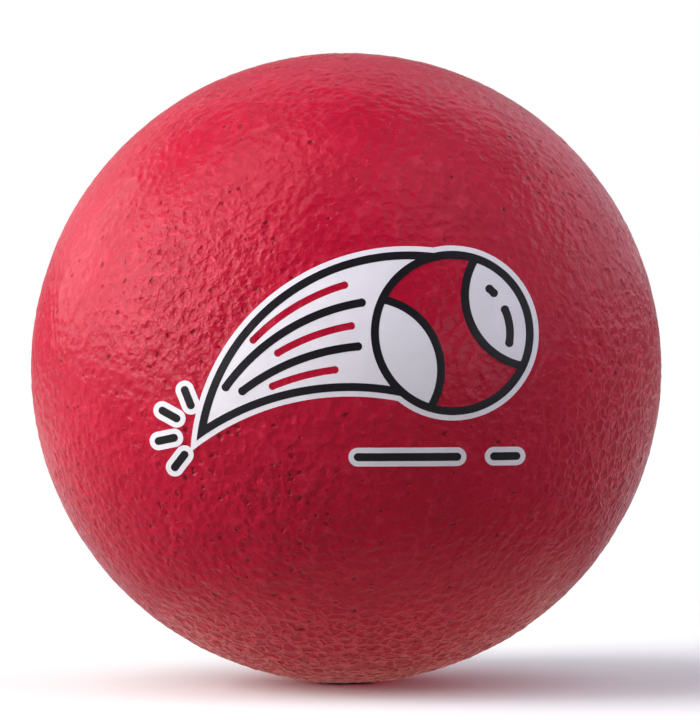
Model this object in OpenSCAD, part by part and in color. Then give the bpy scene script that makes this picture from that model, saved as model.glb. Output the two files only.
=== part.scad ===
// Coated foam dodgeball: a moulded foam core inside a seamless sprayed skin,
// with a two-colour print of a bouncing ball on its front.
// The origin is the centre of the ball, +Z is up and the print faces -Y.

/* [Ball] */
// Outside diameter of the finished ball
ball_d = 152.4; // [140:0.1:250]
// Thickness of the skin sprayed over the foam
skin_t = 1; // [0.6:0.1:3]

/* [Ink] */
// Thickness of each layer of ink
ink_t = 0.1; // [0.06:0.01:0.3]
// Width of the black lines
line_w = 1.8; // [1.2:0.1:2.2]
// White border outside the black lines
border_w = 1.2; // [0.6:0.1:1.6]
// Width of the red slits in the trail
slit_w = 1.6; // [1:0.1:2]

/* [Motif] */
// Width over which the places of the motif are laid out
layout_w = 84; // [80:1:90]
// Diameter of the drawn ball, to the middle of its outline
drawn_ball_d = 35; // [32:0.5:38]
// Radius of the two curved seams on the drawn ball
seam_r = 16; // [14:0.5:19]
// Narrowest width of the red panel between the seams
panel_w = 9; // [7:0.5:11]
// Distance of the shine lines inside the drawn ball's outline
shine_inset = 4.6; // [4.2:0.1:5.4]
// Gap between the drawn ball's outline and the speed lines
trail_gap = 2.2; // [1.4:0.1:3]
// Length of each short line that fans out from the bounce
tick_len = 5.5; // [4:0.5:7]
// Distance of the short lines from the tip of the trail
tick_gap = 5.6; // [5:0.1:6.6]
// Length of the long ground line under the drawn ball
ground_long = 24; // [16:1:28]
// Length of the short ground line beside it
ground_short = 7; // [5:0.5:10]

/* [Hidden] */
$fn = 96;

ball_r = ball_d / 2;
core_r = ball_r - skin_t;
white_r = ball_r + ink_t;
black_r = white_r + ink_t;
ring_r = drawn_ball_d / 2;
// From the middle of a black line to the edge of its white border
border_reach = line_w / 2 + border_w;

// Places of the motif on the front of the ball, as shares of the layout's width
drawn_ball_share = [0.285, 0.095];
trail_tip_share = [-0.385, -0.17];
ground_share = [0.245, -0.235];
drawn_ball_at = layout_w * drawn_ball_share;
trail_tip_at = layout_w * trail_tip_share;
ground_at = layout_w * ground_share;
tip_to_ball = drawn_ball_at - trail_tip_at;

// Directions, in degrees: across the trail at the drawn ball, and along its seams' normal
trail_normal_deg = 72;
seam_tilt_deg = 24;
// Both edges of the trail pass the drawn ball's centre at this share of its radius
trail_edge_share = 0.9;
// Speed lines: place across the trail as a share of the radius, and length along it
speed_line_shares = [[0.30, 0.76], [-0.32, 0.68]];
// Red slits: place across the trail, where each begins along it and its length
slit_shares = [[0.61, 0.12, 0.44], [-0.01, 0.03, 0.40], [-0.63, 0.16, 0.36]];
// Directions of the short lines that fan out from the bounce
tick_degs = [112, 152, 192, 232];
// Shine lines in the drawn ball: where each begins and ends, from the seams' normal
shine_degs = [[-34, 0], [20, 26]];
// A curved line is a little wider at its round ends, where the pen is set down
end_swell_share = 1.06;

// Signed distance, along the normal at the drawn ball, from that ball's centre to the
// centre of the arc that starts at the trail's tip and passes the ball at share s.
function arc_shift(s) =
    (pow(s * ring_r, 2) - tip_to_ball * tip_to_ball)
    / (2 * (tip_to_ball * [cos(trail_normal_deg), sin(trail_normal_deg)] + s * ring_r));
function arc_centre(s) =
    drawn_ball_at + arc_shift(s) * [cos(trail_normal_deg), sin(trail_normal_deg)];
function arc_r(s) = s * ring_r - arc_shift(s);
// Direction of the trail's tip seen from that centre
function tip_deg(s) =
    let (to_tip = trail_tip_at - arc_centre(s)) atan2(to_tip[1], to_tip[0]);
// Direction in which the arc comes within reach of the drawn ball's centre
function near_deg(s, reach) =
    trail_normal_deg
    + acos((pow(arc_shift(s), 2) + pow(arc_r(s), 2) - pow(reach, 2))
           / (2 * abs(arc_shift(s)) * arc_r(s)));

// Straight pen line of width w, centred on the origin, along X
module pen_line(length, w) {
    square([length - w, w], center = true);
    for (side = [-1, 1])
        translate([side * (length - w) / 2, 0])
            circle(d = w);
}

// Curved pen line of width w on radius r about the origin
module pen_arc(r, w, from_deg, to_deg) {
    intersection() {
        difference() {
            circle(r = r + w / 2);
            circle(r = r - w / 2);
        }
        sector(r + 2 * w, from_deg, to_deg);
    }
    for (end_deg = [from_deg, to_deg])
        rotate(end_deg)
            translate([r, 0])
                circle(d = end_swell_share * w);
}

// Pie slice that covers radius r between two directions less than a half turn apart
module sector(r, from_deg, to_deg) {
    step_deg = (to_deg - from_deg) / 4;
    reach = r / cos(step_deg);
    polygon([
        [0, 0],
        for (step = [0:4])
            reach * [cos(from_deg + step * step_deg), sin(from_deg + step * step_deg)]
    ]);
}

// Line of width w along the trail at share s, from start_share of the way
// between the drawn ball and the tip, for length_share of that way
module trail_line(s, w, start_share, length_share) {
    near = near_deg(s, ring_r + line_w + trail_gap);
    way = tip_deg(s) - near;
    from_deg = near + start_share * way;
    translate(arc_centre(s))
        pen_arc(arc_r(s), w, from_deg, from_deg + length_share * way);
}

// Area between the trail's two edges, grown by more, as far as the drawn ball's middle
module trail_area(more) {
    intersection() {
        difference() {
            translate(arc_centre(trail_edge_share))
                circle(r = arc_r(trail_edge_share) + more);
            translate(arc_centre(-trail_edge_share))
                circle(r = arc_r(-trail_edge_share) - more);
        }
        translate(drawn_ball_at)
            rotate(trail_normal_deg)
                translate([-ball_d / 2, 0])
                    square(ball_d);
    }
}

// Repeats a tick round the trail's tip, pointing away from it
module at_ticks() {
    for (tick_deg = tick_degs)
        translate(trail_tip_at)
            rotate(tick_deg)
                translate([tick_gap + tick_len / 2, 0])
                    children();
}

// The two ground lines end to end, grown by more all round
module ground_lines(more) {
    gap = line_w + 4 * border_w;
    run = ground_long + gap + ground_short;
    translate(ground_at) {
        translate([(ground_long - run) / 2, 0])
            pen_line(ground_long + 2 * more, line_w + 2 * more);
        translate([(run - ground_short) / 2, 0])
            pen_line(ground_short + 2 * more, line_w + 2 * more);
    }
}

// The two discs beside the drawn ball's panel, grown by more
module beside_panel(more) {
    rotate(seam_tilt_deg)
        for (side = [-1, 1])
            translate([side * (seam_r + panel_w / 2), 0])
                circle(r = seam_r + more);
}

// Everything that the white ink covers, before the red places are left out
module white_outline() {
    translate(drawn_ball_at)
        circle(r = ring_r + border_reach);
    trail_area(border_reach);
    at_ticks()
        pen_line(tick_len + 2 * border_w, 2 * border_reach);
    ground_lines(border_w);
}

// Red places: the panel between the seams and the slits in the trail
module red_outline() {
    translate(drawn_ball_at)
        difference() {
            circle(r = ring_r);
            beside_panel(0);
        }
    for (slit = slit_shares)
        trail_line(slit[0], slit_w, slit[1], slit[2]);
}

// Everything that the black ink covers
module black_outline() {
    translate(drawn_ball_at) {
        difference() {
            circle(r = ring_r + line_w / 2);
            circle(r = ring_r - line_w / 2);
        }
        intersection() {
            circle(r = ring_r);
            difference() {
                beside_panel(line_w / 2);
                beside_panel(-line_w / 2);
            }
        }
        for (shine = shine_degs)
            rotate(seam_tilt_deg)
                pen_arc(ring_r - shine_inset, line_w, shine[0], shine[1]);
    }
    difference() {
        trail_area(line_w / 2);
        trail_area(-line_w / 2);
        translate(drawn_ball_at)
            circle(r = ring_r);
    }
    for (speed = speed_line_shares)
        trail_line(speed[0], line_w, 0, speed[1]);
    at_ticks()
        pen_line(tick_len, line_w);
    ground_lines(0);
}

// A flat outline laid on the front of the ball as a layer between two radii
module ink_layer(inner_r, outer_r) {
    intersection() {
        difference() {
            sphere(r = outer_r);
            sphere(r = inner_r);
        }
        rotate([90, 0, 0])
            linear_extrude(height = 2 * outer_r)
                children();
    }
}

// Moulded soft foam ball that fills the skin
module foam_core() {
    color("#f0e3c0")
        sphere(r = core_r);
}

// Seamless tough skin, bonded to the foam all round
module skin() {
    color("#c2183a")
        difference() {
            sphere(r = ball_r);
            sphere(r = core_r);
        }
}

// White ink, printed first, with gaps where the red skin shows through
module white_print() {
    color("#eeeef4")
        ink_layer(ball_r, white_r)
            difference() {
                white_outline();
                red_outline();
            }
}

// Black ink, printed over the white
module black_print() {
    color("#1c1c20")
        ink_layer(white_r, black_r)
            black_outline();
}

foam_core();
skin();
white_print();
black_print();
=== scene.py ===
import math

import bmesh
import bpy
import numpy as np
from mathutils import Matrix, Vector
from mathutils.geometry import delaunay_2d_cdt


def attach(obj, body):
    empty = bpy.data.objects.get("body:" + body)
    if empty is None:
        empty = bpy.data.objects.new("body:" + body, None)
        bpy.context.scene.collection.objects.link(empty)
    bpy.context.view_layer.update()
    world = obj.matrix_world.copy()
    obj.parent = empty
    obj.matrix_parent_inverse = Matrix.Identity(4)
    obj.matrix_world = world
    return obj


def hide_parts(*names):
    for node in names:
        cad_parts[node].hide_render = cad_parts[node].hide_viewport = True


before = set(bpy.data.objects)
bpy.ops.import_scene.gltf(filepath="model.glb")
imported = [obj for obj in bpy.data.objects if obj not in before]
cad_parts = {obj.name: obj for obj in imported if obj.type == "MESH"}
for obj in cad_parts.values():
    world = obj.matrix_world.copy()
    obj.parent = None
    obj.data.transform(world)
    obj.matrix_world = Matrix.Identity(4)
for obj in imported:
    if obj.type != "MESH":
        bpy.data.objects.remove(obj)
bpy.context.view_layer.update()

MM = 0.001

# Ball: radius, the skin's wall and the gap between it and the foam, and how many squares cross each side of
# the cubes that the skin's outer and inner surface are pressed from
BALL_R = 76.2 * MM
SKIN_WALL = 1.0 * MM
WALL_GAP = 0.04 * MM
SKIN_CELLS = 224
WALL_CELLS = 28

# The skin's map: the height of the strip that holds its inner wall, and the margin round each square
MAP_STRIP = 0.06
MAP_MARGIN = 0.01

# Moulded relief of the skin: slow swells, soft pebbles, and wide shallow hollows among them. A wander is the
# size of the noise that bends a pattern, and how far. A level is the noise that stays at the ball's surface.
SWELL_SIZE = 11.0 * MM
SWELL_DEPTH = 0.25 * MM
SWELL_LEVEL = 0.78
PEBBLE_SIZE = 1.9 * MM
PEBBLE_DEPTH = 0.38 * MM
PEBBLE_LEVEL = 0.72
PEBBLE_WANDER = (3.0 * MM, 1.6 * MM)
HOLLOW_SPACING = 4.2 * MM
HOLLOW_DEPTH = 0.12 * MM
HOLLOW_REACHES = (0.5, 1.1)

# How far the pebbles and hollows are pressed flat under the print, and follow the liveliness elsewhere
PRESSED_SHARE = 0.85
LIVELY_SHARE = 0.5

# Liveliness of the skin: everywhere, what is added below a height, and what is added at the foot
LIVELY_EVERYWHERE = 0.65
LIVELY_BELOW = 0.25
BELOW_HEIGHTS = (-30 * MM, 10 * MM)
LIVELY_FOOT = 1.1
FOOT_HEIGHTS = (-74 * MM, -52 * MM)

# Where the skin is livelier or calmer: middle of the spot, its reach, and what it adds to the liveliness
BRIGHT_PATCH = ((-34 * MM, -65 * MM, 20 * MM), 34 * MM)
LIVELY_SPOTS = (
    (*BRIGHT_PATCH, 0.75),
    ((-14 * MM, -68 * MM, -32 * MM), 24 * MM, 0.6),
    ((60 * MM, -30 * MM, 30 * MM), 48 * MM, 0.5),
    ((-62 * MM, -30 * MM, 34 * MM), 34 * MM, -0.25),
)

# Grain of the skin: shallow cups with thin ridges between them. A rim, crest or bottom is where across the
# pattern its slope or colour starts and ends. The pale share is painted highlight on the crests, the dark
# share painted shade down in the cups.
CUP_SPACING = 2.3 * MM
CUP_DEPTH = 0.14 * MM
CUP_WANDER = (1.8 * MM, 2.0 * MM)
CUP_RIM = (0.15, 0.75)
CUP_CREST = (0.62, 0.92)
CUP_BOTTOM = (0.1, 0.65)
CUP_PAINTED_HIGHLIGHT = 0.3
CUP_PAINTED_SHADE = 0.13

# A wider net of ridges instead of the cups, low on the ball and on one side of it, with painted highlight on
# its ridges and painted shade between them
NET_SPACING = 3.0 * MM
NET_DEPTH = 0.25 * MM
NET_WANDER = (2.2 * MM, 2.6 * MM)
NET_RIM = (0, 0.25)
NET_CREST = (0, 0.15)
NET_BOTTOM = (0.08, 0.3)
NET_PAINTED_HIGHLIGHT = 0.65
NET_PAINTED_SHADE = 0.3
NET_HEIGHTS = (-68 * MM, -44 * MM)
NET_SIDE = ((62 * MM, -26 * MM, -16 * MM), 52 * MM)
NET_SIDE_SHARE = 0.85

# Short raised strokes at the bright patch, pale with painted highlight, and a fine roughness that is
# strongest there
STROKE_SIZE = 1.3 * MM
STROKE_DEPTH = 0.07 * MM
STROKE_EDGE = (0.54, 0.68)
STROKE_PAINTED_HIGHLIGHT = 0.5
FINE_SIZE = 0.8 * MM
FINE_DEPTH = 0.14 * MM
FINE_ELSEWHERE = 0.3

# Dents here and there, in patches, with painted shade down in them. The strokes, dents and pinholes share one
# ragged wander.
DENT_SPACING = 1.9 * MM
DENT_DEPTH = 0.30 * MM
DENT_REACHES = (0.1, 0.8)
DENT_BOTTOM = (0.3, 0.75)
DENT_PAINTED_SHADE = 0.4
DENT_PATCH_SIZE = 7 * MM
DENT_PATCH_EDGE = (0.34, 0.62)
RAGGED_WANDER = (1.1 * MM, 1.2 * MM)

# Pinholes where bubbles of the foam show through, in loose clusters, many at one spot, and few where the
# skin is calm. One is more than a speck where its random number is above the rarity, less the crowding.
PIT_SPACING = 2.0 * MM
PIT_RADIUS = 1.0 * MM
PIT_DEPTH = 0.28 * MM
PIT_SMALLEST = 0.1
PIT_FLOOR = 0.1
PIT_RARITY = 0.86
PIT_CROWDING = 0.42
PIT_BIGGEST_AT = 1.04
PIT_LIVELINESS = (0.6, 1.2)
CLUSTER_SIZE = 17 * MM
CLUSTER_EDGE = (0.38, 0.66)
PITTED_SPOT = ((-20 * MM, -66 * MM, -32 * MM), 44 * MM)
PITTED_GAIN = 0.8

# Colours of the skin: its two reds, then painted shade down in a cup or dent, painted highlight on the
# crests, and painted shade in a pinhole
DEEP_RED = (0.41, 0.0043, 0.027)
LIGHT_RED = (0.455, 0.0052, 0.031)
PAINTED_SHADE_RED = (0.24, 0.0024, 0.015)
PAINTED_HIGHLIGHT_RED = (0.61, 0.036, 0.078)
PIT_PAINTED_SHADE = (0.18, 0.0004, 0.007)
PIT_SHADE_EDGE = (0.2, 0.8)
PIT_SHADE_SHARE = 0.88

# Inks: lighter and darker colour and roughness, and how much of the skin's grain shows through
WHITE_INK = ((0.84, 0.80, 0.87), (0.80, 0.765, 0.83), 0.36)
BLACK_INK = ((0.009, 0.008, 0.011), (0.006, 0.005, 0.008), 0.38)
INK_GRAIN = 0.12

# Clouds that shift a colour, and the shine: how rough the skin is, how its roughness varies and what a sunk
# place and a pinhole add, how an ink's varies, and the gloss that skin and inks share
SKIN_CLOUD = 14 * MM
INK_CLOUD = 8 * MM
CLOUD_EDGE = (0.3, 0.7)
SKIN_ROUGH = 0.24
SKIN_ROUGH_SPREAD = 0.08
SKIN_ROUGH_SIZE = 2.2 * MM
SUNK_ROUGH = 0.5
PIT_ROUGH = 0.1
INK_ROUGH_SPREAD = 0.1
INK_ROUGH_SIZE = 1.5 * MM
SATIN = {"IOR": 1.5, "Specular IOR Level": 0.14}

# Foam: its colour between its cells and the painted shade in the hollow of each, fine cells on coarser lumps,
# and its roughness
FOAM_COLOUR = (0.86, 0.76, 0.52)
FOAM_PAINTED_SHADE = (0.66, 0.55, 0.33)
FOAM_CELL = 0.9 * MM
FOAM_CELL_DEPTH = 0.25 * MM
FOAM_CELL_EDGE = (0.1, 0.6)
FOAM_LUMP = 2.1 * MM
FOAM_LUMP_DEPTH = 0.3 * MM
FOAM_ROUGH = 0.9

# Print: how far each layer of ink stands off the skin and how thick it is, the size of its mesh, how near the
# outline another point may be, in that size, where round the print the calm skin starts to end and ends, and
# how near two points are one
WHITE_LIFT = 0.05 * MM
BLACK_LIFT = 0.08 * MM
INK_THICKNESS = 0.08 * MM
INK_MESH = 0.45 * MM
INK_CLEAR = 0.55
CALM_EDGE = (0.2 * MM, 1.4 * MM)
SAME_POINT = 1e-7

# Photograph: its size, the ball's middle and radius in it, in pixels, how far the camera is, the width of its
# sensor in millimetres, and how near it starts to see
PICTURE = (700, 725)
BALL_IN_PICTURE = (346.2, 368.0, 315.67)
CAMERA_DISTANCE = 0.9
SENSOR_WIDTH = 36
CLIP_START = 0.05

# Floor: half its width, how far out it fades to white, its colour in the light that it throws back and as
# seen, and how much of the seen one a gloss shows
FLOOR_REACH = 4.0
FLOOR_FADE = (0.10, 0.34)
FLOOR_LIT = (0.20, 0.19, 0.17)
FLOOR_SEEN = (0.86, 0.86, 0.86)
FLOOR_IN_GLOSS = 0.55

# World, apart from the white that the camera sees: how bright a gloss shows the room, what the backdrop
# behind the ball adds and where it starts, and how bright the room is to matt surfaces
ROOM_IN_GLOSS = 0.10
BACKDROP_IN_GLOSS = 0.50
BACKDROP_EDGE = (0.86, 0.99)
ROOM_LIGHT = 0.04

# Softboxes: degrees round from the camera (left is negative), degrees up, width and height, watts, colour.
# The watts were set near the results of a fit to the photograph's shading, and some trimmed since.
LAMP_REACH = 1.2
PLAIN = (1.0, 1.0, 1.0)
COOL = (0.95, 0.96, 1.08)
LAMPS = {
    "key": (-76, 24, (0.7, 0.8), 11.2, PLAIN),
    "key_low": (-60, 7, (0.8, 0.4), 5.3, PLAIN),
    "key_front": (-50, 36, (0.7, 0.8), 2.4, PLAIN),
    "key_side": (-95, 6, (0.8, 0.36), 0.8, PLAIN),
    "key_back": (-110, 22, (0.9, 0.75), 4.9, PLAIN),
    "left_back": (-140, 26, (0.8, 0.7), 1.0, PLAIN),
    "top_left": (-70, 60, (0.8, 0.8), 5.9, PLAIN),
    "top_right": (50, 60, (0.8, 0.8), 3.0, COOL),
    "right": (80, 25, (1.2, 0.85), 3.2, COOL),
    "right_low": (50, 7, (0.8, 0.4), 2.7, COOL),
    "right_side": (108, 22, (0.9, 0.7), 1.1, COOL),
    "right_back": (135, 24, (1.2, 0.7), 2.0, COOL),
    "right_high": (130, 47, (0.8, 0.7), 1.15, COOL),
    "back": (180, 52, (0.9, 0.7), 1.2, COOL),
}

# Dim warm plate of light under the ball: radius, how far to the right and clear of the floor, watts, colour
PLATE_R = 75 * MM
PLATE_ASIDE = 16 * MM
PLATE_LIFT = 0.6 * MM
PLATE_POWER = 0.026
WARM = (1.0, 0.92, 0.72)


class Wire:
    """A socket's value in a node tree, so that sums on it read as plain expressions."""

    def __init__(self, sheet, socket):
        self.sheet = sheet
        self.socket = socket

    def sum(self, operation, *values):
        return self.sheet.add("ShaderNodeMath", {"operation": operation}, dict(enumerate(values)))

    def __add__(self, other):
        return self.sum("ADD", self, other)

    def __sub__(self, other):
        return self.sum("SUBTRACT", self, other)

    def __rsub__(self, other):
        return self.sum("SUBTRACT", other, self)

    def __mul__(self, other):
        return self.sum("MULTIPLY", self, other)

    def rise(self, low, high):
        """0 below low and 1 above high, with a smooth step between."""
        return self.sheet.add("ShaderNodeMapRange", {"interpolation_type": "SMOOTHSTEP"},
                              {"Value": self, "From Min": low, "From Max": high})

    def fall(self, low, high):
        """1 below low and 0 above high."""
        return 1 - self.rise(low, high)

    def root(self):
        return self.sum("SQRT", self)

    def clamp(self):
        return self.sheet.add("ShaderNodeClamp", {}, {"Value": self})

    __radd__ = __add__
    __rmul__ = __mul__


class Sheet:
    """A node tree being written. Every node comes from add()."""

    def __init__(self, tree):
        self.tree = tree

    def add(self, kind, settings=None, sockets=None, out=0):
        """Adds a node, sets it, fills its sockets and gives its output, or the node if out is None."""
        node = self.tree.nodes.new(kind)
        for name, value in (settings or {}).items():
            setattr(node, name, value)
        for name, value in (sockets or {}).items():
            socket = node.inputs[name]
            if isinstance(value, Wire):
                self.tree.links.new(value.socket, socket)
            else:
                socket.default_value = value
        return node if out is None else Wire(self, node.outputs[out])

    def noise(self, place, size, detail=1.0, out=0):
        return self.add("ShaderNodeTexNoise", {}, {"Vector": place, "Scale": 1 / size, "Detail": detail}, out)

    def cells(self, place, size, feature="F1", out="Distance"):
        return self.add("ShaderNodeTexVoronoi", {"feature": feature},
                        {"Vector": place, "Scale": 1 / size}, out)

    def move(self, operation, place, other):
        name = "Scale" if operation == "SCALE" else 1
        return self.add("ShaderNodeVectorMath", {"operation": operation}, {0: place, name: other})

    def near(self, place, middle, reach):
        """1 within a fifth of the reach, and less and less out to 0 at the reach."""
        away = self.add("ShaderNodeVectorMath", {"operation": "DISTANCE"}, {0: place, 1: middle}, out="Value")
        return away.fall(0.2 * reach, reach)

    def wander(self, place, size, reach):
        """The place shifted by up to about half of reach, by noise of the given size."""
        noise = self.noise(place, size, out="Color")
        shift = self.move("SCALE", self.move("SUBTRACT", noise, (0.5, 0.5, 0.5)), reach)
        return self.move("ADD", place, shift)

    def parts(self, vector):
        split = self.add("ShaderNodeSeparateXYZ", {}, {0: vector}, out=None)
        return [Wire(self, output) for output in split.outputs]

    def mix(self, share, first, second):
        """Colour mix. Either colour can be a wire or a plain colour."""
        node = self.add("ShaderNodeMix", {"data_type": "RGBA"}, {}, out=None)
        for index, value in ((0, share), (6, first), (7, second)):
            if isinstance(value, Wire):
                self.tree.links.new(value.socket, node.inputs[index])
            else:
                node.inputs[index].default_value = value if index == 0 else (*value, 1)
        return Wire(self, node.outputs[2])


def spots(sheet, place, spacing):
    """Scattered spots: how far off the nearest one is, in spacings, and its own random number, 0 to 1."""
    cells = sheet.cells(place, spacing, out=None)
    near, lot = (Wire(sheet, cells.outputs[name]) for name in ("Distance", "Color"))
    return near, sheet.parts(lot)[0]


def dents(sheet, place, spacing, smallest, widest):
    """Soft round hollows, each of its own reach in spacings: 0 off them, and the reach in their middle."""
    near, lot = spots(sheet, place, spacing)
    reach = smallest + (widest - smallest) * lot
    return near.fall(0, reach) * reach


def liveliness(sheet, place):
    """How strong the relief is: livelier low on the ball and round a few spots, calmer on top."""
    up = sheet.parts(place)[2]
    lively = LIVELY_EVERYWHERE + LIVELY_BELOW * up.fall(*BELOW_HEIGHTS) + LIVELY_FOOT * up.fall(*FOOT_HEIGHTS)
    for middle, reach, gain in LIVELY_SPOTS:
        lively = lively + gain * sheet.near(place, middle, reach)
    return lively


def skin_relief(sheet, place, calm):
    """Height of the moulded relief at a place on the ball, in metres, never above the surface.

    Where calm is 1 the relief is nearly pressed flat."""
    swell = sheet.noise(place, SWELL_SIZE, detail=1.5)
    bent = sheet.wander(place, *PEBBLE_WANDER)
    pebble = sheet.noise(bent, PEBBLE_SIZE, detail=0.6)
    hollow = dents(sheet, bent, HOLLOW_SPACING, *HOLLOW_REACHES)
    raised = PEBBLE_DEPTH * (pebble - PEBBLE_LEVEL) - HOLLOW_DEPTH * hollow
    lively = 1 - LIVELY_SHARE + LIVELY_SHARE * liveliness(sheet, place)
    height = SWELL_DEPTH * (swell - SWELL_LEVEL) + raised * lively * (1 - PRESSED_SHARE * calm)
    return height.sum("MINIMUM", height, 0.0)


def socket_of(tree, name):
    return next(item.identifier for item in tree.interface.items_tree
                if item.name == name and item.in_out == "INPUT")


def set_relief(sheet, geometry, print_piece):
    """Lowers the points of a ball-shaped surface by the relief, which is calm under the print."""
    place = sheet.add("GeometryNodeInputPosition")
    out = sheet.add("ShaderNodeVectorMath", {"operation": "NORMALIZE"}, {0: place})
    on_ball = sheet.move("SCALE", out, BALL_R)
    ink = sheet.add("GeometryNodeObjectInfo", {}, {"Object": print_piece}, out="Geometry")
    away = sheet.add("GeometryNodeProximity", {"target_element": "FACES"},
                     {"Geometry": ink, "Sample Position": on_ball}, out="Distance")
    height = skin_relief(sheet, on_ball, away.fall(*CALM_EDGE))
    return sheet.add("GeometryNodeSetPosition", {},
                     {"Geometry": geometry, "Offset": sheet.move("SCALE", out, height)})


def round_grid(sheet, cells, radius):
    """A cube's grid pressed out to a ball, with its squares kept about even."""
    cube = sheet.add("GeometryNodeMeshCube", {},
                     {"Size": (2, 2, 2), "Vertices X": cells, "Vertices Y": cells, "Vertices Z": cells})
    corners = [(part * (math.pi / 4)).sum("TANGENT", part * (math.pi / 4))
               for part in sheet.parts(sheet.add("GeometryNodeInputPosition"))]
    spread = sheet.add("ShaderNodeCombineXYZ", {}, dict(enumerate(corners)))
    out = sheet.add("ShaderNodeVectorMath", {"operation": "NORMALIZE"}, {0: spread})
    ball = sheet.add("GeometryNodeSetPosition", {},
                     {"Geometry": cube, "Position": sheet.move("SCALE", out, radius)})
    return sheet.add("GeometryNodeSetShadeSmooth", {}, {0: ball})


def new_tree(name, inputs):
    """A geometry tree with named inputs, its writing sheet and the wires of those inputs."""
    tree = bpy.data.node_groups.new(name, "GeometryNodeTree")
    for label, kind in inputs:
        tree.interface.new_socket(label, in_out="INPUT", socket_type=kind)
    tree.interface.new_socket("Geometry", in_out="OUTPUT", socket_type="NodeSocketGeometry")
    sheet = Sheet(tree)
    entry = sheet.add("NodeGroupInput", out=None)
    return tree, sheet, [Wire(sheet, entry.outputs[label]) for label, _ in inputs]


def end_tree(sheet, geometry, material):
    real = sheet.add("GeometryNodeRealizeInstances", {}, {0: geometry})
    dressed = sheet.add("GeometryNodeSetMaterial", {}, {"Geometry": real, "Material": material})
    sheet.add("NodeGroupOutput", {}, {0: dressed}, out=None)


def skin_tree():
    tree, sheet, (_, cells, wall_cells, radius, wall_radius, ink, material) = new_tree("grained skin", [
        ("Geometry", "NodeSocketGeometry"), ("Cells", "NodeSocketInt"), ("Wall Cells", "NodeSocketInt"),
        ("Radius", "NodeSocketFloat"), ("Wall Radius", "NodeSocketFloat"), ("Ink", "NodeSocketObject"),
        ("Material", "NodeSocketMaterial")])
    outside = set_relief(sheet, round_grid(sheet, cells + 1, radius), ink)
    inside = sheet.add("GeometryNodeFlipFaces", {}, {0: round_grid(sheet, wall_cells + 1, wall_radius)})
    both = sheet.add("GeometryNodeJoinGeometry", {}, {}, out=None)
    for part in (inside, outside):
        sheet.tree.links.new(part.socket, both.inputs[0])
    end_tree(sheet, Wire(sheet, both.outputs[0]), material)
    return tree


def ink_tree():
    tree, sheet, (geometry, ink, material) = new_tree("ink on grain", [
        ("Geometry", "NodeSocketGeometry"), ("Ink", "NodeSocketObject"), ("Material", "NodeSocketMaterial")])
    end_tree(sheet, set_relief(sheet, geometry, ink), material)
    return tree


def grown(name, mesh, tree, **values):
    """The plain mesh that a geometry tree makes of a mesh, as a new object at the origin."""
    seed = bpy.data.objects.new(name + "_seed", mesh)
    bpy.context.scene.collection.objects.link(seed)
    modifier = seed.modifiers.new("tree", "NODES")
    modifier.node_group = tree
    for label, value in values.items():
        modifier[socket_of(tree, label.replace("_", " "))] = value
    bpy.context.view_layer.update()
    result = bpy.data.meshes.new_from_object(seed.evaluated_get(bpy.context.evaluated_depsgraph_get()))
    seed.modifiers.remove(modifier)
    bpy.data.objects.remove(seed)
    result.name = name
    piece = bpy.data.objects.new(name, result)
    bpy.context.scene.collection.objects.link(piece)
    return piece


def map_as_cube(piece):
    """Lays the ball's six squares side by side on its map, the inner wall's in a strip above them."""
    mesh = piece.data
    places = np.empty(len(mesh.vertices) * 3)
    mesh.vertices.foreach_get("co", places)
    places = places.reshape(-1, 3)
    corner = np.empty(len(mesh.loops), dtype=int)
    mesh.loops.foreach_get("vertex_index", corner)
    middle = np.empty(len(mesh.polygons) * 3)
    mesh.polygons.foreach_get("center", middle)
    middle = middle.reshape(-1, 3)
    sides = np.empty(len(mesh.polygons), dtype=int)
    mesh.polygons.foreach_get("loop_total", sides)
    owner = np.repeat(np.arange(len(sides)), sides)
    axis = np.abs(middle).argmax(1)
    ahead = np.take_along_axis(middle, axis[:, None], 1)[:, 0] > 0
    face = axis * 2 + ahead
    inner = np.linalg.norm(middle, axis=1) < BALL_R - 0.5 * SKIN_WALL
    spot = places[corner]
    main = np.take_along_axis(spot, axis[owner][:, None], 1)[:, 0]
    first = np.take_along_axis(spot, ((axis + 1) % 3)[owner][:, None], 1)[:, 0]
    second = np.take_along_axis(spot, ((axis + 2) % 3)[owner][:, None], 1)[:, 0]
    u = np.arctan2(first, np.abs(main)) / (math.pi / 2) + 0.5
    v = np.arctan2(second, np.abs(main)) / (math.pi / 2) + 0.5
    # A side that faces the other way is mirrored, so that the map isn't turned over
    turned = ahead[owner] == inner[owner]
    u = np.where(turned, 1 - u, u)
    u, v = (MAP_MARGIN + (1 - 2 * MAP_MARGIN) * part for part in (u, v))
    row = (1 - MAP_STRIP) / 2
    wide, high = np.where(inner, 1 / 6, 1 / 3)[owner], np.where(inner, MAP_STRIP, row)[owner]
    left = np.where(inner, face / 6, (face % 3) / 3)[owner]
    low = np.where(inner, 1 - MAP_STRIP, (face // 3) * row)[owner]
    layer = mesh.uv_layers.new(name="OFBake")
    layer.uv.foreach_set("vector", np.stack([left + wide * u, low + high * v], 1).ravel())


def outline_of(node):
    """The edges of a layer of ink, seen from the front: pairs of points in metres, across and up."""
    copy = bmesh.new()
    copy.from_mesh(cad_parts[node].data)
    bmesh.ops.remove_doubles(copy, verts=copy.verts, dist=SAME_POINT)
    copy.normal_update()
    reach = [vert.co.length for vert in copy.verts]
    middle = (min(reach) + max(reach)) / 2
    top = {face for face in copy.faces
           if min(vert.co.length for vert in face.verts) > middle
           and face.normal.dot(face.calc_center_median().normalized()) > 0.5}
    edges = [[(vert.co.x, vert.co.z) for vert in edge.verts] for edge in copy.edges
             if sum(face in top for face in edge.link_faces) == 1]
    copy.free()
    return edges


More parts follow.
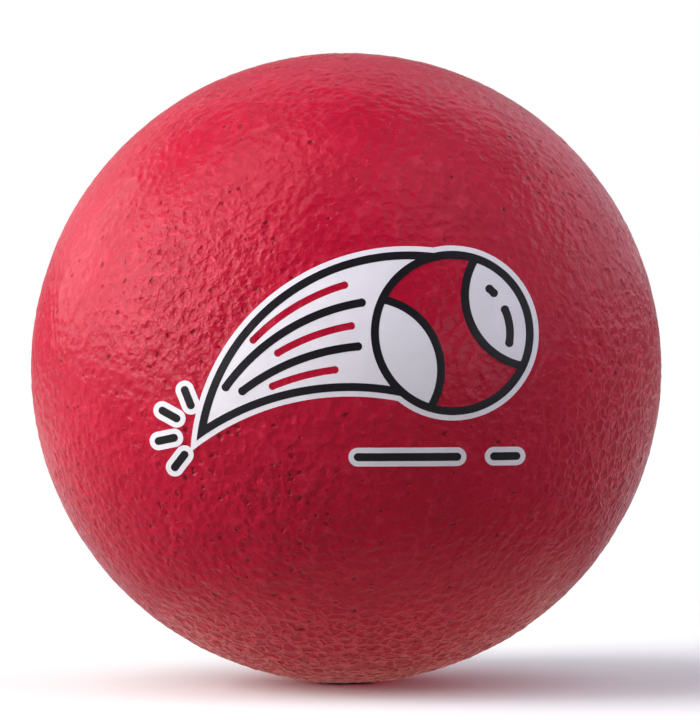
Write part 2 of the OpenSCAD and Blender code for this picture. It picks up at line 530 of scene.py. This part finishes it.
def flat_ink(node):
    """Even triangles that fill a layer's outline: its points, its triangles and its outer edges."""
    points, links, known = [], [], {}

    def number(point):
        key = (round(point[0], 8), round(point[1], 8))
        if key not in known:
            known[key] = len(points)
            points.append(key)
        return known[key]

    for start, end in outline_of(node):
        steps = max(1, math.ceil(math.dist(start, end) / INK_MESH))
        chain = [number([a + (b - a) * step / steps for a, b in zip(start, end)])
                 for step in range(steps + 1)]
        links += zip(chain, chain[1:])
    rim = np.array(points)
    low, high = rim.min(0), rim.max(0)
    rows = np.arange(low[1], high[1], INK_MESH * math.sqrt(3) / 2)
    grid = np.array([(x + (row % 2) * INK_MESH / 2, z) for row, z in enumerate(rows)
                     for x in np.arange(low[0], high[0], INK_MESH)])
    clear = [np.hypot(*(rim - spot).T).min() > INK_CLEAR * INK_MESH for spot in grid]
    everything = [Vector(point) for point in points] + [Vector(spot) for spot in grid[clear]]
    flat, _, faces, *_ = delaunay_2d_cdt(everything, links, [], 0, SAME_POINT)
    flat = np.array([tuple(point) for point in flat])
    # A triangle lies on the ink where a line from it crosses the outline an odd number of times
    across, up = flat[np.array(faces)].mean(1).T
    inked = np.zeros(len(faces), dtype=bool)
    for (x, z), (end_x, end_z) in rim[np.array(links)]:
        if z != end_z:
            inked ^= ((z > up) != (end_z > up)) & (across < x + (up - z) * (end_x - x) / (end_z - z))
    return flat, [face for face, inside in zip(faces, inked) if inside]


def flat_layer(name, node, lift):
    """A thin closed layer of ink with the node's outline, on a ball that is still smooth."""
    flat, faces = flat_ink(node)
    depth = np.sqrt(BALL_R**2 - (flat**2).sum(1))
    outward = np.stack([flat[:, 0], -depth, flat[:, 1]], 1) / BALL_R
    layer = bmesh.new()
    for level in (BALL_R + lift, BALL_R + lift - INK_THICKNESS):
        for point in outward * level:
            layer.verts.new(point)
    layer.verts.ensure_lookup_table()
    layer.verts.index_update()
    count = len(flat)
    for face in faces:
        verts = [layer.verts[index] for index in face]
        normal = (verts[1].co - verts[0].co).cross(verts[2].co - verts[0].co)
        ring = list(face) if normal.dot(verts[0].co) > 0 else list(face)[::-1]
        layer.faces.new([layer.verts[index] for index in ring]).smooth = True
    layer.edges.ensure_lookup_table()
    for edge in [edge for edge in layer.edges if len(edge.link_loops) == 1]:
        loop = edge.link_loops[0]
        start, end = loop.vert.index, loop.link_loop_next.vert.index
        layer.faces.new([layer.verts[index] for index in (end, start, start + count, end + count)])
        edge.smooth = False
    for face in [face for face in layer.faces if len(face.verts) == 3]:
        layer.faces.new([layer.verts[vert.index + count] for vert in reversed(face.verts)]).smooth = True
    loose = [vert for vert in layer.verts if not vert.link_faces]
    bmesh.ops.delete(layer, geom=loose, context="VERTS")
    mesh = bpy.data.meshes.new(name)
    layer.to_mesh(mesh)
    layer.free()
    return mesh


def pinholes(sheet, place, ragged, lively):
    """How deep in a pinhole a place is, 0 to 1. Each pinhole is of its own size."""
    crowd = sheet.noise(place, CLUSTER_SIZE, detail=0.0).rise(*CLUSTER_EDGE) * lively.rise(*PIT_LIVELINESS)
    crowd = crowd + PITTED_GAIN * sheet.near(place, *PITTED_SPOT)
    near, lot = spots(sheet, ragged, PIT_SPACING)
    size = PIT_SMALLEST + lot.rise(PIT_RARITY - PIT_CROWDING * crowd, PIT_BIGGEST_AT)
    radius = PIT_RADIUS / PIT_SPACING * size
    return near.fall(PIT_FLOOR * radius, radius)


def ridges(sheet, place, lively):
    """The cups, and the net of ridges that takes their place here and there: height in metres, then the share
    of painted highlight on the crests and of painted shade down between them, 0 to 1."""
    netted = sheet.parts(place)[2].fall(*NET_HEIGHTS) + NET_SIDE_SHARE * sheet.near(place, *NET_SIDE)
    netted = netted.clamp()
    cup = sheet.cells(sheet.wander(place, *CUP_WANDER), CUP_SPACING)
    net = sheet.cells(sheet.wander(place, *NET_WANDER), NET_SPACING, "DISTANCE_TO_EDGE")
    height = CUP_DEPTH * cup.rise(*CUP_RIM) * (1 - netted) + NET_DEPTH * net.fall(*NET_RIM) * netted
    # Painted highlight: pale colour on the crests of the cups and the ridges of the net
    painted_highlight = CUP_PAINTED_HIGHLIGHT * cup.rise(*CUP_CREST) * (1 - netted) + NET_PAINTED_HIGHLIGHT * net.fall(*NET_CREST) * netted
    # Painted shade: darker colour down in the cups and between the ridges of the net
    painted_shade = CUP_PAINTED_SHADE * cup.fall(*CUP_BOTTOM) * lively + NET_PAINTED_SHADE * net.rise(*NET_BOTTOM) * netted
    return height, painted_highlight, painted_shade


def grain(sheet, place):
    """Fine grain of the skin: its height in metres, then the share of painted shade down in hollows, how deep
    in a pinhole a place is, and the share of painted highlight on the crests and strokes, 0 to 1."""
    lively = liveliness(sheet, place)
    bright = sheet.near(place, *BRIGHT_PATCH)
    height, painted_highlight, painted_shade = ridges(sheet, place, lively)
    fine = sheet.noise(place, FINE_SIZE) * (FINE_ELSEWHERE + (1 - FINE_ELSEWHERE) * bright)
    ragged = sheet.wander(place, *RAGGED_WANDER)
    stroke = sheet.noise(ragged, STROKE_SIZE, detail=0.5).rise(*STROKE_EDGE) * bright
    patch = sheet.noise(place, DENT_PATCH_SIZE).rise(*DENT_PATCH_EDGE)
    dent = dents(sheet, ragged, DENT_SPACING, *DENT_REACHES) * patch
    pit = pinholes(sheet, place, ragged, lively)
    height = FINE_DEPTH * fine + height + STROKE_DEPTH * stroke - DENT_DEPTH * dent
    # Painted shade down in the dents as well
    painted_shade = painted_shade + DENT_PAINTED_SHADE * dent.rise(*DENT_BOTTOM)
    # The strokes add painted highlight to that of the crests
    return height * lively - PIT_DEPTH * pit, painted_shade, pit, painted_highlight + STROKE_PAINTED_HIGHLIGHT * stroke


def new_material(name):
    """A new material, its writing sheet, and the place on the piece."""
    material = bpy.data.materials.new(name)
    material.use_nodes = True
    material.node_tree.nodes.clear()
    sheet = Sheet(material.node_tree)
    return material, sheet, sheet.add("ShaderNodeTexCoord", {}, {}, out="Object")


def bumped(sheet, height, strength=1.0):
    return sheet.add("ShaderNodeBump", {},
                     {"Strength": strength, "Distance": 1.0, "Height": height}, out="Normal")


def finish_with(sheet, shader):
    sheet.add("ShaderNodeOutputMaterial", {}, {"Surface": shader}, out=None)


def finish_plain(sheet, colour, rough, normal, gloss):
    """Ends a material in one shader. The gloss is a dict of the sockets that make it, or empty for matt."""
    finish_with(sheet, sheet.add("ShaderNodeBsdfPrincipled", {}, {
        "Base Color": colour, "Roughness": rough, "Normal": normal, **gloss}))


def skin_material():
    material, sheet, place = new_material("red skin")
    height, painted_shade, pit, painted_highlight = grain(sheet, place)
    red = sheet.mix(sheet.noise(place, SKIN_CLOUD, detail=3.0).rise(*CLOUD_EDGE), DEEP_RED, LIGHT_RED)
    # Painted shade down in the cups, dents and between ridges
    red = sheet.mix(painted_shade, red, PAINTED_SHADE_RED)
    # Painted highlight on the crests and strokes
    red = sheet.mix(painted_highlight, red, PAINTED_HIGHLIGHT_RED)
    # Painted shade in the pinholes
    red = sheet.mix(pit.rise(*PIT_SHADE_EDGE) * PIT_SHADE_SHARE, red, PIT_PAINTED_SHADE)
    rough = SKIN_ROUGH + SKIN_ROUGH_SPREAD * sheet.noise(place, SKIN_ROUGH_SIZE)
    rough = rough + SUNK_ROUGH * painted_shade + PIT_ROUGH * pit
    finish_plain(sheet, red, rough, bumped(sheet, height), SATIN)
    return material


def ink_material(name, light, dark, rough):
    """Satin ink, which bridges most of the skin's grain."""
    material, sheet, place = new_material(name)
    colour = sheet.mix(sheet.noise(place, INK_CLOUD, detail=3.0).rise(*CLOUD_EDGE), dark, light)
    rough = rough + INK_ROUGH_SPREAD * sheet.noise(place, INK_ROUGH_SIZE)
    finish_plain(sheet, colour, rough, bumped(sheet, grain(sheet, place)[0], INK_GRAIN), SATIN)
    return material


def foam_material():
    material, sheet, place = new_material("moulded foam")
    cell = sheet.cells(place, FOAM_CELL)
    height = FOAM_CELL_DEPTH * cell + FOAM_LUMP_DEPTH * sheet.cells(place, FOAM_LUMP)
    # Painted shade: darker in the hollow of each foam cell
    colour = sheet.mix(cell.rise(*FOAM_CELL_EDGE), FOAM_PAINTED_SHADE, FOAM_COLOUR)
    finish_plain(sheet, colour, FOAM_ROUGH, bumped(sheet, height), {})
    return material


def seen_share(sheet, gloss=1.0):
    """1 for rays to the camera, and the given share for those in a gloss or through glass."""
    ray = sheet.add("ShaderNodeLightPath", {}, {}, out=None)
    camera, glossy, glass = (Wire(sheet, ray.outputs[name])
                             for name in ("Is Camera Ray", "Is Glossy Ray", "Is Transmission Ray"))
    return (camera + gloss * (glossy + glass)).clamp()


def floor_piece():
    """A pale floor that fades to the white of the backdrop, and throws little light back up."""
    material, sheet, place = new_material("pale floor")
    x, y, _ = sheet.parts(place)
    far = (x * x + y * y).root().rise(*FLOOR_FADE)
    seen = seen_share(sheet, FLOOR_IN_GLOSS)
    pale = sheet.mix(seen, FLOOR_LIT, FLOOR_SEEN)
    matt = sheet.add("ShaderNodeBsdfDiffuse", {}, {"Color": pale})
    white = sheet.add("ShaderNodeEmission", {}, {"Color": (1, 1, 1, 1), "Strength": 1.0})
    finish_with(sheet, sheet.add("ShaderNodeMixShader", {}, {0: far * seen, 1: matt, 2: white}))
    mesh = bpy.data.meshes.new("floor")
    corners = [(across * FLOOR_REACH, back * FLOOR_REACH, -BALL_R)
               for across, back in ((-1, -1), (1, -1), (1, 1), (-1, 1))]
    mesh.from_pydata(corners, [], [(0, 1, 2, 3)])
    mesh.materials.append(material)
    floor = bpy.data.objects.new("floor", mesh)
    bpy.context.scene.collection.objects.link(floor)
    return floor


def set_world():
    """White wherever the camera looks. In a gloss, a paler backdrop behind the ball in a dim room."""
    world = bpy.data.worlds.new("studio")
    world.use_nodes = True
    world.node_tree.nodes.clear()
    sheet = Sheet(world.node_tree)
    _, back, _ = sheet.parts(sheet.add("ShaderNodeTexCoord", {}, {}, out="Generated"))
    camera = sheet.add("ShaderNodeLightPath", {}, {}, out="Is Camera Ray")
    glossy = ROOM_IN_GLOSS + BACKDROP_IN_GLOSS * back.rise(*BACKDROP_EDGE)
    level = camera + (1 - camera) * (seen_share(sheet) * (glossy - ROOM_LIGHT) + ROOM_LIGHT)
    sky = sheet.add("ShaderNodeBackground", {}, {"Color": (1, 1, 1, 1), "Strength": level})
    sheet.add("ShaderNodeOutputWorld", {}, {"Surface": sky}, out=None)
    bpy.context.scene.world = world


def softbox(name, around, up, size, power, colour):
    """A large soft lamp at LAMP_REACH from the ball, turned to face it."""
    light = bpy.data.lights.new(name, "AREA")
    light.shape = "RECTANGLE"
    light.size, light.size_y = size
    light.energy = power
    light.color = colour
    around, up = math.radians(around), math.radians(up)
    toward = Vector((math.sin(around) * math.cos(up), -math.cos(around) * math.cos(up), math.sin(up)))
    lamp = bpy.data.objects.new(name, light)
    lamp.location = toward * LAMP_REACH
    lamp.rotation_euler = (-toward).to_track_quat("-Z", "Y").to_euler()
    lamp.visible_camera = False
    bpy.context.scene.collection.objects.link(lamp)


def glow_plate():
    """A dim warm disk under the ball, which lights its underside as a pale table top does."""
    light = bpy.data.lights.new("glow_plate", "AREA")
    light.shape = "DISK"
    light.size = 2 * PLATE_R
    light.energy = PLATE_POWER
    light.color = WARM
    plate = bpy.data.objects.new("glow_plate", light)
    plate.location = (PLATE_ASIDE, 0, PLATE_LIFT - BALL_R)
    plate.rotation_euler = (math.pi, 0, 0)
    plate.visible_camera = False
    bpy.context.scene.collection.objects.link(plate)


def set_camera():
    """Looks straight along +Y. The ball's middle and radius land where the photograph has them."""
    wide, high = PICTURE
    across, down, radius = BALL_IN_PICTURE
    focal = radius / math.tan(math.asin(BALL_R / CAMERA_DISTANCE))
    scale = CAMERA_DISTANCE / focal
    camera = bpy.data.cameras.new("camera")
    camera.sensor_fit = "HORIZONTAL"
    camera.sensor_width = SENSOR_WIDTH
    camera.lens = SENSOR_WIDTH * focal / wide
    camera.clip_start = CLIP_START
    eye = bpy.data.objects.new("camera", camera)
    eye.location = ((wide / 2 - across) * scale, -CAMERA_DISTANCE, (down - high / 2) * scale)
    eye.rotation_euler = (math.pi / 2, 0, 0)
    bpy.context.scene.collection.objects.link(eye)
    bpy.context.scene.camera = eye


red_skin = skin_material()
white_ink = ink_material("white ink", *WHITE_INK)
black_ink = ink_material("black ink", *BLACK_INK)
foam = foam_material()

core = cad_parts["foam_core"]
core.data.materials.clear()
core.data.materials.append(foam)

white_flat = flat_layer("white_flat", "white_print", WHITE_LIFT)
black_flat = flat_layer("black_flat", "black_print", BLACK_LIFT)
stencil = bpy.data.objects.new("print_stencil", white_flat)
bpy.context.scene.collection.objects.link(stencil)
skin = grown("ball_skin", bpy.data.meshes.new("skin_seed"), skin_tree(),
             Cells=SKIN_CELLS, Wall_Cells=WALL_CELLS,
             Radius=BALL_R, Wall_Radius=BALL_R - SKIN_WALL + WALL_GAP, Ink=stencil, Material=red_skin)
map_as_cube(skin)
ink_on_grain = ink_tree()
white = grown("white_ink_layer", white_flat, ink_on_grain, Ink=stencil, Material=white_ink)
black = grown("black_ink_layer", black_flat, ink_on_grain, Ink=stencil, Material=black_ink)
bpy.data.objects.remove(stencil)

for piece, node, slot in ((skin, "skin", "skin"),
                          (white, "white_print", "white_ink"),
                          (black, "black_print", "black_ink")):
    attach(piece, "root")
    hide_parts(node)

floor_piece()
set_world()
for name, lamp in LAMPS.items():
    softbox(name, *lamp)
glow_plate()
set_camera()
bpy.context.scene.view_settings.view_transform = "Standard"
